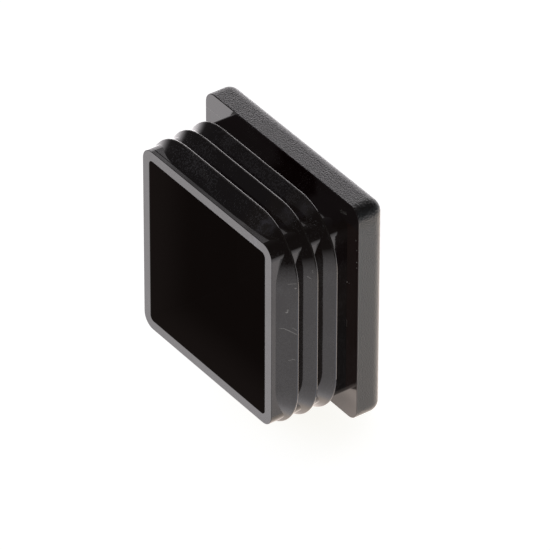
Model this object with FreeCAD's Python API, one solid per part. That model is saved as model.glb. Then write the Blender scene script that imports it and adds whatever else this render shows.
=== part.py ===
import FreeCAD, Part
import math
import os

# Square tube end cap, moulded in one piece: a head that covers the end of the tube, and a
# hollow plug with sawtooth fins that grip the inside of the tube.
#
# Frame, in millimetres: the origin is on the plug's axis, in the plane of the seat where the
# head meets the end of the tube. The axis lies along Y: the head is on the +Y side and the
# plug's open mouth points to -Y. The cap lies on its side, with +Z up.

# Head
tube_side = 40.0                # outside of the square tube, which the head matches
head_thickness = 5.05
head_corner_radius = 2.2
outer_edge_radius = 2.0         # round between the outer face and the sides
seat_edge_radius = 0.1          # round between the sides and the seat on the tube's end
closing_wall = 2.5              # left between the cavity's floor and the outer face

# Plug
plug_length = 14.0              # from the seat to the mouth
plug_side = 33.9                # across the plain walls, to enter tube with a 1 to 3 mm wall
plug_corner_radius = 2.3
plug_wall = 1.72
cavity_corner_radius = 0.85
mouth_edge_radius = 0.08        # both edges of the mouth's rim

# Fins, counted from the mouth
fin_count = 3
first_fin_height = 2.5          # tip above the plug's plain wall
fin_height_step = 0.085         # each fin stands this much higher than the one before
first_fin_tip = 3.17            # from the mouth to the first tip
fin_pitch = 3.54
slope_setback = 0.8             # from the mouth, or the tip before, to the foot of a slope
back_run = 0.5                  # from a tip to the foot of its steep back
tip_land = 0.08                 # narrow flat along the tip
tip_bevel = 0.12                # flats that ease the land into the slope and the back
tip_bevel_angle = 22.0          # degrees that each bevel leans from the land
first_fin_corner_radius = 9.7   # round of the first fin's tip at the corners of the plug
next_fin_corner_radius = 9.5    # the same for the fins after it, which reach further out

seat_y = 0.0
outer_y = seat_y + head_thickness
mouth_y = seat_y - plug_length

axis_point = FreeCAD.Vector(0, 0, 0)
axis_direction = FreeCAD.Vector(0, 1, 0)


def quarter_turned(point, turns):
    """The point turned about the axis, from +X towards +Z, by a number of quarter turns."""
    for _ in range(turns):
        point = FreeCAD.Vector(-point.z, point.y, point.x)
    return point


def rounded_square(side, radius, y):
    """Closed wire in the plane Y = y, centred on the axis, with four round corners."""
    half = side / 2
    arc_centre = half - radius
    arc_middle = arc_centre + radius * math.sqrt(0.5)
    side_start = FreeCAD.Vector(half, y, -arc_centre)
    side_end = FreeCAD.Vector(half, y, arc_centre)
    corner_middle = FreeCAD.Vector(arc_middle, y, arc_middle)
    corner_end = FreeCAD.Vector(arc_centre, y, half)
    edges = []
    for turns in range(4):
        points = [quarter_turned(p, turns) for p in (side_start, side_end, corner_middle, corner_end)]
        edges.append(Part.makeLine(points[0], points[1]))
        edges.append(Part.Arc(*points[1:]).toShape())
    return Part.Wire(edges)


def rounded_block(side, radius, y_from, y_to):
    """Square block with round corners, from one plane across the axis to another."""
    face = Part.Face(rounded_square(side, radius, y_from))
    return face.extrude(FreeCAD.Vector(0, y_to - y_from, 0))


def rounded_in_plane(solid, y, radius):
    """The solid with a round on every edge that lies in the plane Y = y."""
    flat = 1e-4
    edges = []
    for edge in solid.Edges:
        box = edge.BoundBox
        if abs(box.YMin - y) < flat and abs(box.YMax - y) < flat:
            edges.append(edge)
    return solid.makeFillet(radius, edges)


def fin_section(height, tip_y, slope_start_y):
    """Sawtooth section in the plane X = 0, on the top wall of the plug.

    A slope rises from its foot towards the head, a narrow land with a bevel on each side
    makes the tip, and a steep back drops to the wall. The root reaches into the wall, so the
    fin is one with it.
    """
    wall_z = plug_side / 2
    root_z = wall_z - plug_wall / 2
    tip_z = wall_z + height
    lean = math.radians(tip_bevel_angle)
    bevel_y = tip_land / 2 + tip_bevel * math.cos(lean)
    bevel_z = tip_z - tip_bevel * math.sin(lean)
    back_end_y = tip_y + back_run
    corners = [
        (slope_start_y, root_z),
        (slope_start_y, wall_z),
        (tip_y - bevel_y, bevel_z),
        (tip_y - tip_land / 2, tip_z),
        (tip_y + tip_land / 2, tip_z),
        (tip_y + bevel_y, bevel_z),
        (back_end_y, wall_z),
        (back_end_y, root_z),
    ]
    points = [FreeCAD.Vector(0, y, z) for y, z in corners]
    return Part.Face(Part.makePolygon(points + points[:1]))


def fin(index):
    """One fin: its section run along the four walls and turned round the four corners.

    The corners turn about a centre far inside the plug's own corner, so the fin's slope
    fades into the plug there and its tip stands only a little proud.
    """
    height = first_fin_height + index * fin_height_step
    tip_y = mouth_y + first_fin_tip + index * fin_pitch
    behind_y = mouth_y if index == 0 else tip_y - fin_pitch
    corner_radius = first_fin_corner_radius if index == 0 else next_fin_corner_radius
    turn_centre = plug_side / 2 + height - corner_radius
    section = fin_section(height, tip_y, behind_y + slope_setback)
    section.translate(FreeCAD.Vector(turn_centre, 0, 0))
    run = section.extrude(FreeCAD.Vector(-2 * turn_centre, 0, 0))
    bend = section.revolve(FreeCAD.Vector(turn_centre, 0, turn_centre), axis_direction, 90)
    pieces = []
    for turns in range(4):
        pieces.append(run.rotated(axis_point, axis_direction, 90 * turns))
        pieces.append(bend.rotated(axis_point, axis_direction, 90 * turns))
    return pieces[0].fuse(pieces[1:])


def head():
    """Plate that covers the tube's end, round at the outer face and crisp at the seat."""
    plate = rounded_block(tube_side, head_corner_radius, seat_y, outer_y)
    plate = rounded_in_plane(plate, outer_y, outer_edge_radius)
    return rounded_in_plane(plate, seat_y, seat_edge_radius)


def end_cap():
    """The whole moulding: head, plug and fins in one, hollowed from the mouth."""
    plug = rounded_block(plug_side, plug_corner_radius, mouth_y, seat_y)
    fins = [fin(index) for index in range(fin_count)]
    solid = plug.fuse([head()] + fins)
    cavity_side = plug_side - 2 * plug_wall
    cavity_floor_y = outer_y - closing_wall
    cavity = rounded_block(cavity_side, cavity_corner_radius, mouth_y, cavity_floor_y)
    solid = solid.cut(cavity).removeSplitter()
    return rounded_in_plane(solid, mouth_y, mouth_edge_radius)


os.makedirs("parts", exist_ok=True)
cap = end_cap()
print("valid", cap.isValid(), "solids", len(cap.Solids), "volume", round(cap.Volume, 1), "mm3")
cap.Solids[0].exportStep("parts/end_cap.step")
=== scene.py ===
import math

import bpy
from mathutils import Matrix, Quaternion, Vector


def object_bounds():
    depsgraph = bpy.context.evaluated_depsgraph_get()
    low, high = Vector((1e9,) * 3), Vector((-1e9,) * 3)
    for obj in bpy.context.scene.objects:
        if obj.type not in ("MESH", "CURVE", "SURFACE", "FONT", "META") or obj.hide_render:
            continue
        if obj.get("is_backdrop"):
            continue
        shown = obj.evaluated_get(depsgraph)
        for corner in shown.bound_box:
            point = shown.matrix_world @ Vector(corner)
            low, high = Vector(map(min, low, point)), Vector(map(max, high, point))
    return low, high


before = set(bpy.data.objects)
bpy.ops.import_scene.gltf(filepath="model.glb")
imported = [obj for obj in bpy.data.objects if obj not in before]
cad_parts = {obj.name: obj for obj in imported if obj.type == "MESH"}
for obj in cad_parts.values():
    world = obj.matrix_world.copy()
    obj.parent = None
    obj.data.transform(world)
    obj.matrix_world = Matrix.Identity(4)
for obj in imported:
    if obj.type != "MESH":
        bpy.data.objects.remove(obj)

bpy.ops.object.select_all(action="DESELECT")
cad_low, cad_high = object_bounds()


# Camera
# A long lens about a metre away looks down into the plug's mouth, past its right wall.
view_azimuth = math.radians(54.187)
view_elevation = math.radians(36.261)
view_roll = math.radians(0.155)
aim = Vector((0.00231, -0.00279, -0.00109))
distance = 1.1074
lens_mm, sensor_mm = 471.4, 36.0
clip_near, clip_far = 0.05, 50.0

back = Vector((
    math.sin(view_azimuth) * math.cos(view_elevation),
    -math.cos(view_azimuth) * math.cos(view_elevation),
    math.sin(view_elevation),
))
camera_data = bpy.data.cameras.new("camera")
camera_data.lens = lens_mm
camera_data.sensor_width = sensor_mm
camera_data.clip_start = clip_near
camera_data.clip_end = clip_far
camera = bpy.data.objects.new("camera", camera_data)
bpy.context.scene.collection.objects.link(camera)
camera.rotation_mode = "QUATERNION"
camera.rotation_quaternion = Quaternion(back, view_roll) @ (-back).to_track_quat("-Z", "Y")
camera.location = aim + back * distance
bpy.context.scene.camera = camera
bpy.context.scene.view_settings.view_transform = "Standard"


# Table
# The cap lies on a white table that is lit from below, so it takes only a faint warm shadow, close to its
# right side, where the head touches the table. That shadow is painted shade: a soft oval of dimmer glow
# in the table's emission. Reflections don't see the table, because the light that it sends up is part of
# the world's.
table_size = 8.0
table_glow = (1.0, 1.0, 1.0, 1.0)
table_shade = (0.935, 0.925, 0.885, 1.0)
table_colour = (0.3, 0.3, 0.3, 1.0)
table_roughness = 0.9
shade_x, shade_y = 0.012, -0.0036
shade_reach_x, shade_reach_y = 0.0135, 0.009


class Field:
    """A value in a node tree, so that shader maths reads as an expression."""

    def __init__(self, shader, socket):
        self.shader = shader
        self.socket = socket

    def maths(self, operation, *others, clamp=False):
        settings = {"operation": operation, "use_clamp": clamp}
        return self.shader.node("ShaderNodeMath", settings, dict(enumerate((self,) + others)))

    def __add__(self, other):
        return self.maths("ADD", other)

    def __radd__(self, other):
        return self.maths("ADD", other)

    def __sub__(self, other):
        return self.maths("SUBTRACT", other)

    def __rsub__(self, other):
        return self.shader.value(other).maths("SUBTRACT", self)

    def __mul__(self, other):
        return self.maths("MULTIPLY", other)

    def __rmul__(self, other):
        return self.maths("MULTIPLY", other)

    def __truediv__(self, other):
        return self.maths("DIVIDE", other)

    def __pow__(self, other):
        return self.maths("POWER", other)

    def __gt__(self, other):
        return self.maths("GREATER_THAN", other)

    def __lt__(self, other):
        return self.maths("LESS_THAN", other)

    def __abs__(self):
        return self.maths("ABSOLUTE")

    def step(self, start, end):
        """0 at the start and 1 at the end, with a soft ramp between."""
        settings = {"interpolation_type": "SMOOTHSTEP"}
        inputs = {"Value": self, "From Min": start, "From Max": end}
        return self.shader.node("ShaderNodeMapRange", settings, inputs, "Result")


class Shader:
    """A node tree. Every node of this script is made by its method node."""

    def __init__(self, tree):
        self.tree = tree
        tree.nodes.clear()

    def node(self, kind, settings=None, inputs=None, output=0):
        made = self.tree.nodes.new(kind)
        for name, value in (settings or {}).items():
            setattr(made, name, value)
        for name, value in (inputs or {}).items():
            if isinstance(value, Field):
                self.tree.links.new(value.socket, made.inputs[name])
            else:
                made.inputs[name].default_value = value
        return Field(self, made.outputs[output]) if made.outputs else made

    def value(self, number):
        return self.node("ShaderNodeMath", {"operation": "ADD"}, {0: number, 1: 0.0})

    def axes(self, vector):
        """The X, Y and Z of a vector."""
        split = self.node("ShaderNodeSeparateXYZ", inputs={0: vector}, output=0)
        outputs = split.socket.node.outputs
        return [Field(self, outputs[axis]) for axis in "XYZ"]

    def blend(self, share, first, second):
        """From the first colour to the second."""
        inputs = {0: share, 6: first, 7: second}
        return self.node("ShaderNodeMix", {"data_type": "RGBA"}, inputs, 2)


bpy.ops.mesh.primitive_plane_add(size=table_size, location=(0, 0, cad_low.z))
table = bpy.context.object
table.name = "table"
table.visible_glossy = False
material = bpy.data.materials.new("white_table")
material.use_nodes = True
shader = Shader(material.node_tree)
x, y, z = shader.axes(shader.node("ShaderNodeTexCoord", output="Object"))
# Painted shadow: the table's glow dims in a soft oval about this place.
across, along = (x - shade_x) / shade_reach_x, (y - shade_y) / shade_reach_y
shaded = (0 - across * across - along * along).maths("EXPONENT")
surface = shader.node("ShaderNodeBsdfPrincipled", inputs={
    "Base Color": table_colour,
    "Roughness": table_roughness,
    "Specular IOR Level": 0.0,
    "Emission Color": shader.blend(shaded, table_glow, table_shade),
    "Emission Strength": 1.0,
})
shader.node("ShaderNodeOutputMaterial", inputs={"Surface": surface})
table.data.materials.append(material)
table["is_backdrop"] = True


# Light
# A wide softbox stands low behind the cap on its left, and the room above is nearly black, but
# for one dim patch of wall in front. All other light comes up from the white table, which is
# brightest towards the softbox.
softbox_strength = 2.3
softbox_azimuth = math.radians(-44.0)
softbox_half_width = math.sin(math.radians(34.0))
softbox_side_blur = 0.06
softbox_top = 0.508
softbox_top_blur = 0.105
table_light = 1.6
table_light_left = 0.5
table_light_back = 0.8
table_light_below = 0.45
table_fade = 0.3
table_edge = 0.009
table_slant = 0.029
table_edge_right = 0.075
camera_shade = 0.75
room_light = 0.03
room_light_left = 0.06
wall_light = 0.1
wall_azimuth = math.radians(-160.0)
wall_elevation = math.radians(32.0)
wall_reach = math.radians(15.0)
wall_middle = math.radians(3.0)
cool = (1.02, 0.98, 1.0, 1.0)
warm = (1.14, 0.985, 0.87, 1.0)
warm_slant = 2.15
least_level = 1e-6

# Ranges of a direction's X, Y or Z, from where a part of the light starts to where it is full.
left_range = (0.2, -0.66)
back_range = (0.3, 0.65)
below_range = (-0.85, -0.98)
edge_right_range = (0.6, 0.9)
fade_left_range = (0.09, -0.27)
camera_range = (0.965, 0.985)
warm_range = (1.68, 1.95)

world = bpy.data.worlds.new("studio")
world.use_nodes = True
bpy.context.scene.world = world
shader = Shader(world.node_tree)
direction = shader.node("ShaderNodeTexCoord", output="Generated")
x, y, z = shader.axes(direction)
level = (x * x + y * y + least_level) ** 0.5
aside = (x * math.cos(softbox_azimuth) - y * math.sin(softbox_azimuth)) / level
ahead = x * math.sin(softbox_azimuth) + y * math.cos(softbox_azimuth)
width = abs(aside).step(softbox_half_width + softbox_side_blur, softbox_half_width - softbox_side_blur)
height = z.step(softbox_top + softbox_top_blur, softbox_top)
softbox = width * height * (ahead > 0.0) * (z > 0.0) * softbox_strength

left = x.step(*left_range)
behind = y.step(*back_range)
below = z.step(*below_range)
edge = x * table_slant + x.step(*edge_right_range) * table_edge_right + table_edge
depth = (0 - z - edge).maths("MAXIMUM", 0.0)
fade_right = 1 - (depth / -table_fade).maths("EXPONENT")
fade_left = z.step(*fade_left_range)
fade = fade_right * (1 - left) + fade_left * left
in_front = (x * math.sin(view_azimuth) - y * math.cos(view_azimuth)) / level
shade = 1 - in_front.step(*camera_range) * camera_shade
amount = left * table_light_left + behind * table_light_back + below * table_light_below + table_light

wall_level = math.cos(wall_elevation)
wall_x, wall_y = wall_level * math.sin(wall_azimuth), wall_level * math.cos(wall_azimuth)
towards = x * wall_x + y * wall_y + z * math.sin(wall_elevation)
wall = towards.step(math.cos(wall_reach), math.cos(wall_middle)) * wall_light
room = room_light + left * room_light_left + wall
light = softbox + fade * shade * amount + room
seen = shader.node("ShaderNodeLightPath", output="Is Camera Ray")
strength = light * (1 - seen) + seen
colour = shader.blend((y - z * warm_slant).step(*warm_range), cool, warm)
background = shader.node("ShaderNodeBackground", inputs={"Color": colour, "Strength": strength})
shader.node("ShaderNodeOutputWorld", inputs={"Surface": background})


# Shade under the plug
# The plug keeps most light off the strip of table below it, which shows in the seat's lower
# corner. A card that only reflections see stands for that strip.
shade_light = 1.4
shade_light_right = 0.45
shade_light_front = 0.45
shade_colour = (1.12, 0.98, 0.9, 1.0)
shade_lift = 0.00005
shade_end = 0.0197

# Ranges on the card's own X or Y, which run from -0.5 to 0.5. The seat is at Y 0.5.
shade_right_range = (0.33, 0.5)
shade_front_range = (0.36, 0.22)
shade_seat_range = (0.12, 0.2)
shade_open_range = (0.4446, 0.369)

shade_middle = (cad_low.x + shade_end) / 2
bpy.ops.mesh.primitive_plane_add(size=1.0, location=(shade_middle, cad_low.y / 2, cad_low.z + shade_lift))
card = bpy.context.object
card.name = "shaded_table"
card.scale = (shade_end - cad_low.x, -cad_low.y, 1.0)
card.visible_camera = False
card.visible_diffuse = False
card.visible_shadow = False
material = bpy.data.materials.new("shaded_table")
material.use_nodes = True
shader = Shader(material.node_tree)
x, y, z = shader.axes(shader.node("ShaderNodeTexCoord", output="Object"))
near_seat = y.step(*shade_seat_range)
front_light = y.step(*shade_front_range) * near_seat * shade_light_front
strength = x.step(*shade_right_range) * shade_light_right + front_light + shade_light
glow = shader.node("ShaderNodeEmission", inputs={"Color": shade_colour, "Strength": strength})
clear = shader.node("ShaderNodeBsdfTransparent")
covered = near_seat.maths("MAXIMUM", x.step(*shade_open_range))
surface = shader.node("ShaderNodeMixShader", inputs={0: covered, 1: clear, 2: glow})
shader.node("ShaderNodeOutputMaterial", inputs={"Surface": surface})
card.data.materials.append(material)
card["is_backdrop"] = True


# End cap
# One moulding in black plastic. The mould was polished for the plug, its fins and the seat,
# and spark-eroded for the head, which is all that shows once the cap is driven home. The
# polished walls wave a little, and have picked up dust, scuffs and a few nicks.
smooth_colour = (0.003, 0.0026, 0.0026, 1.0)
# The cavity's tone is darker than the plug's own: painted shade in the recess.
cavity_shade_colour = (0.001, 0.001, 0.001, 1.0)
# Tones of the grained head: painted shade low on its side and at the top right corner, painted light high
# on its side, and a darker top that offsets the light falling on it.
grain_shaded_low_colour = (0.0120, 0.0185, 0.0215, 1.0)
grain_lit_high_colour = (0.026, 0.037, 0.043, 1.0)
grain_shaded_top_colour = (0.016, 0.020, 0.028, 1.0)
side_dust_colour = (0.0165, 0.0160, 0.0170, 1.0)
front_dust_colour = (0.055, 0.055, 0.060, 1.0)
trapped_dust_colour = (0.13, 0.13, 0.14, 1.0)
film_colour = (0.058, 0.058, 0.075, 1.0)
# Pale colour of the scuffs, also used for a painted highlight along the fins' tips.
scuff_and_tip_highlight_colour = (0.30, 0.29, 0.275, 1.0)
# Bluish-grey that the right wall's tips turn towards the bottom.
right_tip_low_colour = (0.012, 0.020, 0.034, 1.0)
smooth_roughness, grain_roughness = 0.08, 0.36
plastic_ior = 1.5

# Stray light that veils the dark surfaces, weakest in the dim parts of the groove between the
# last fin and the head.
haze = (0.0040, 0.0028, 0.0025, 1.0)
mouth_haze = (0.0076, 0.0057, 0.0052, 1.0)
slope_haze = (0.0026, 0.0018, 0.0020, 1.0)
seat_haze = (0.0058, 0.0032, 0.0027, 1.0)
groove_top_haze = (0.0046, 0.0034, 0.0035, 1.0)
groove_low_haze = (0.0031, 0.0026, 0.0025, 1.0)
groove_dim_haze = (0.0012, 0.0002, 0.0002, 1.0)

# Relief. Depths and places are in metres, and a scale is one over a size in metres. The bow
# goes with the cube of X, and the bend with the square of the distance from the foot's start.
grain_scale, grain_depth = 1 / 0.00026, 0.000125
wave_scale, wave_detail, wave_depth = 1 / 0.007, 1.0, 0.00003
bow = 9.0
foot_start, foot_reach, foot_bend = -0.01336, 0.00016, 830.0

# Places on the moulding, in metres
cavity_half, cavity_floor = 0.0153, 0.0026
wall_start, plug_end, tip_start = 0.0168, 0.0171, 0.0188
seat_flat = 0.00005
last_fin_start, last_fin_end = -0.0070, -0.0032
first_tip, tip_pitch, tip_count = -0.01083, 0.00354, 3

# Ranges along an axis of the cap, in metres, from where a finish, a haze, or a painted tone of light or
# shade starts to where it is full. Those of a corner are on the sum of X and Z, and the tips' is a
# distance from each tip.
head_range = (0.00005, 0.00015)
corner_range = (0.029, 0.033)
tip_range = (0.00022, 0.0001)
right_tip_low_range = (0.011, 0.005)
grain_lit_height_range = (-0.018, 0.018)
grain_shaded_corner_range = (0.0378, 0.0355)
grain_shaded_top_range = (0.0185, 0.0195)
mouth_range = (-0.0055, -0.0135)
slope_range = (0.010, 0.007)
foot_range = (0.009, 0.002)
groove_top_range = (0.0160, 0.0168)
groove_top_dim_left, groove_top_dim_right = (-0.003, 0.001), (0.010, 0.008)
groove_side_range = (0.0155, 0.0165)
groove_side_low = (0.002, -0.004)
groove_side_dim_low, groove_side_dim_high = (0.0075, 0.0095), (0.0140, 0.0120)
film_left, film_right, film_height = (0.0105, 0.0120), (0.0147, 0.0125), (0.0135, 0.0155)

# Dust settles where the specks and patches add up to more than a threshold. It is wiped thin
# about one place on the top, and a bluish film is smeared near the top right corner.
speck_scale, speck_gain = 1 / 0.0003, 6.0
patch_scale, patch_gain = 1 / 0.005, 4.0
dust_threshold = 4.67
smear_scale, smear_range = 1 / 0.0012, (0.35, 0.65)
wiped_middle, wiped_range = 0.0042, (0.006, 0.003)
far_left_range = (-0.010, -0.014)
last_fin_left, last_fin_middle, last_fin_right = (-0.006, -0.002), (-0.002, 0.008), (0.0095, 0.0115)
groove_side_clean, groove_top_clean = (0.0065, 0.0095), (-0.003, 0.001)

# Scuffs show the plastic's paler bruise. Each has a core, and fades from it to its edges.
# Strength of the painted highlight along the fins' tips, on the top walls and on the corner.
tip_highlight_top, tip_highlight_corner = 0.5, 0.05
scuff_core = 0.2
mm_per_m = 1000

# Scuffs on the top walls, in millimetres: X and Y of both ends, width and strength.
top_scuffs = (
    (-7.6, -11.07, -7.5, -11.03, 0.16, 0.5),
    (-7.1, -12.3, -6.8, -12.7, 0.2, 0.05),
    (-4.3, -11.7, -2.7, -12.05, 0.45, 0.05),
    (-1.5, -12.05, -1.4, -12.05, 0.25, 0.05),
    (-0.5, -12.0, -0.4, -12.0, 0.25, 0.05),
    (13.3, -12.4, 14.4, -11.95, 0.16, 0.12),
    (14.4, -11.95, 15.3, -11.5, 0.16, 0.06),
    (13.2, -8.4, 15.6, -7.9, 0.13, 0.06),
    (13.6, -5.75, 14.7, -5.1, 0.15, 0.05),
)
# Scuffs on the right walls, in millimetres: Y and Z of both ends, width and strength.
right_scuffs = (
    (-11.9, 10.6, -11.1, 10.9, 0.16, 0.25),
    (-11.17, 10.0, -11.15, 10.05, 0.13, 0.8),
    (-12.12, 5.3, -12.0, 5.35, 0.15, 0.7),
    (-12.0, 5.35, -11.93, 5.85, 0.12, 0.45),
    (-12.7, 2.15, -12.3, 2.2, 0.13, 0.4),
    (-12.3, 2.2, -11.6, 1.8, 0.13, 0.45),
    (-11.6, 1.8, -11.0, 1.4, 0.13, 0.4),
    (-11.4, 2.5, -11.0, 2.2, 0.13, 0.3),
    (-11.8, -3.7, -11.6, -3.6, 0.13, 0.3),
    (-11.5, -3.4, -11.2, -3.4, 0.13, 0.35),
    (-8.4, 10.7, -8.1, 10.4, 0.14, 0.4),
    (-7.85, 11.8, -7.8, 11.4, 0.12, 0.3),
)
# Scuffs on the seat, in millimetres: X and Z of both ends, width and strength.
seat_scuffs = (
    (17.1, 5.2, 17.2, 5.35, 0.17, 1.0),
    (17.7, 5.3, 17.8, 5.4, 0.16, 0.3),
    (17.2, -1.9, 17.22, -3.1, 0.14, 0.3),
    (19.3, 14.3, 19.35, 14.35, 0.16, 0.6),
    (19.5, 12.6, 19.55, 12.65, 0.16, 0.6),
    (19.55, 10.3, 19.6, 10.35, 0.17, 1.0),
    (19.55, 9.3, 19.6, 9.35, 0.15, 0.7),
    (15.4, 17.5, 16.7, 17.8, 0.4, 0.25),
)


def scuff(across, along, mark):
    """The mark's strength along a straight line on a wall, falling to 0 at its edges."""
    *sizes, strength = mark
    start_u, start_v, end_u, end_v, width = (size / mm_per_m for size in sizes)
    run_u, run_v = end_u - start_u, end_v - start_v
    length = math.hypot(run_u, run_v)
    run_u, run_v = run_u / length, run_v / length
    forward = (across - start_u) * run_u + (along - start_v) * run_v
    beyond = (abs(forward - length / 2) - length / 2).maths("MAXIMUM", 0.0)
    aside = (across - start_u) * run_v - (along - start_v) * run_u
    distance = (aside * aside + beyond * beyond) ** 0.5
    return distance.step(width, width * scuff_core) * strength


def noise(scale, detail=2.0):
    """Cloudy noise from 0 to 1, fixed to the cap."""
    return shader.node("ShaderNodeTexNoise", inputs={"Vector": place, "Scale": scale, "Detail": detail})


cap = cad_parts["end_cap"]
material = bpy.data.materials.new("black_moulded_plastic")
material.use_nodes = True
shader = Shader(material.node_tree)
place = shader.node("ShaderNodeTexCoord", output="Object")
x, y, z = shader.axes(place)

# The parts of the surface
inside = (abs(x).maths("MAXIMUM", abs(z)) < cavity_half) * (y < cavity_floor)
head = y.step(*head_range) * (1 - inside)
on_top = z > wall_start
on_right = x > wall_start
on_seat = abs(y) < seat_flat
past_fins = y > last_fin_end
on_last_fin = on_top * (y > last_fin_start)
corner = (x + z).step(*corner_range)

# Dust, with what each of these places adds to it or takes from it
wiped = abs(x - wiped_middle).step(*wiped_range) * on_top * (1 - on_last_fin)
dust_changes = (
    (corner, -0.8),
    (wiped, -0.4),
    (past_fins, -0.6),
    (on_top, -0.45),
    (on_last_fin * x.step(*last_fin_left), 0.3),
    (on_last_fin * x.step(*last_fin_middle), 0.5),
    (on_last_fin * x.step(*last_fin_right), -0.9),
    (x.step(*far_left_range), -0.6),
    (past_fins * (1 - on_top) * z.step(*groove_side_clean), -0.4),
    (past_fins * on_top * x.step(*groove_top_clean), -0.4),
)
cover = noise(speck_scale) * speck_gain + noise(patch_scale) * patch_gain - dust_threshold
for zone, change in dust_changes:
    cover = cover + zone * change
dust = cover.maths("MULTIPLY", 1 - inside, clamp=True)
film = x.step(*film_left) * x.step(*film_right) * z.step(*film_height) * (1 - past_fins)
film = film * noise(smear_scale).step(*smear_range)

# Scuffs, a painted highlight along the fins' tips, and the right wall's tips turning bluish-grey towards
# the bottom
tips = shader.value(0.0)
for tip in range(tip_count):
    tips = tips + abs(y - (first_tip + tip * tip_pitch)).step(*tip_range)
tips = tips * (1 - inside)
# Painted highlight along the fins' tips, strongest on the top walls.
scuffs_and_tip_highlight = tips * (on_top * (1 - corner) * tip_highlight_top + corner * tip_highlight_corner)
for mark in top_scuffs:
    scuffs_and_tip_highlight = scuffs_and_tip_highlight.maths("MAXIMUM", scuff(x, y, mark) * on_top)
for mark in right_scuffs:
    scuffs_and_tip_highlight = scuffs_and_tip_highlight.maths("MAXIMUM", scuff(y, z, mark) * on_right)
for mark in seat_scuffs:
    scuffs_and_tip_highlight = scuffs_and_tip_highlight.maths("MAXIMUM", scuff(x, z, mark) * on_seat)
# The right wall's tips turn bluish-grey towards the bottom.
right_tips_low = tips * (x > tip_start) * z.step(*right_tip_low_range)

# Colour of the polished parts, with painted shade in the cavity and a painted highlight along the fins'
# tips, then of the grained head, whose tones are painted light and shade
# Painted shade inside the cavity.
clean_with_cavity_shade = shader.blend(inside, smooth_colour, cavity_shade_colour)
top_dust = shader.blend(y > first_tip, front_dust_colour, trapped_dust_colour)
smooth = shader.blend(dust, clean_with_cavity_shade, shader.blend(on_top, side_dust_colour, top_dust))
smooth = shader.blend(film, smooth, film_colour)
smooth = shader.blend(scuffs_and_tip_highlight, smooth, scuff_and_tip_highlight_colour)
smooth = shader.blend(right_tips_low, smooth, right_tip_low_colour)
# The head's grain colour is lighter high on its side and darker low down and at the top right corner,
# with its own darker tone on the top: painted light and shade.
high = z.step(*grain_lit_height_range) * (x + z).step(*grain_shaded_corner_range)
grained_lit_and_shaded = shader.blend(z.step(*grain_shaded_top_range), grain_lit_high_colour, grain_shaded_top_colour)
grained_lit_and_shaded = shader.blend(high, grain_shaded_low_colour, grained_lit_and_shaded)

# Haze
groove_top = z.step(*groove_top_range) * past_fins * (1 - head)
groove_side = past_fins * x.step(*groove_side_range) * (x < plug_end)
dim_top = groove_top * x.step(*groove_top_dim_left) * x.step(*groove_top_dim_right)
dim_side = groove_side * z.step(*groove_side_dim_low) * z.step(*groove_side_dim_high)
hazes = (
    (groove_side * z.step(*groove_side_low), groove_low_haze),
    (inside * y.step(*mouth_range), mouth_haze),
    (on_top * (1 - past_fins) * x.step(*slope_range), slope_haze),
    (on_seat * (x > plug_end), seat_haze),
    (groove_top, groove_top_haze),
    (dim_top.maths("MAXIMUM", dim_side), groove_dim_haze),
)
glow = haze
for zone, colour in hazes:
    glow = shader.blend(zone, glow, colour)

# Relief: grain on the head, and on the polished parts waves, a bow and a round at the foot of
# the first slope
foot = (y - foot_start).maths("MAXIMUM", 0.0).maths("MINIMUM", foot_reach)
foot_round = foot * foot * on_top * x.step(*foot_range) * foot_bend
polished = noise(wave_scale, wave_detail) * wave_depth + x * x * x * bow + foot_round
relief = shader.node("ShaderNodeBump", inputs={
    "Strength": 1.0,
    "Distance": 1.0,
    "Height": noise(grain_scale) * head * grain_depth + polished * (1 - head),
})
surface = shader.node("ShaderNodeBsdfPrincipled", inputs={
    "Base Color": shader.blend(head, smooth, grained_lit_and_shaded),
    "Roughness": smooth_roughness + head * (grain_roughness - smooth_roughness),
    "IOR": plastic_ior,
    "Normal": relief,
    "Emission Color": glow,
    "Emission Strength": 1.0,
})
shader.node("ShaderNodeOutputMaterial", inputs={"Surface": surface})
cap.material_slots[0].material = material

low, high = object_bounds()
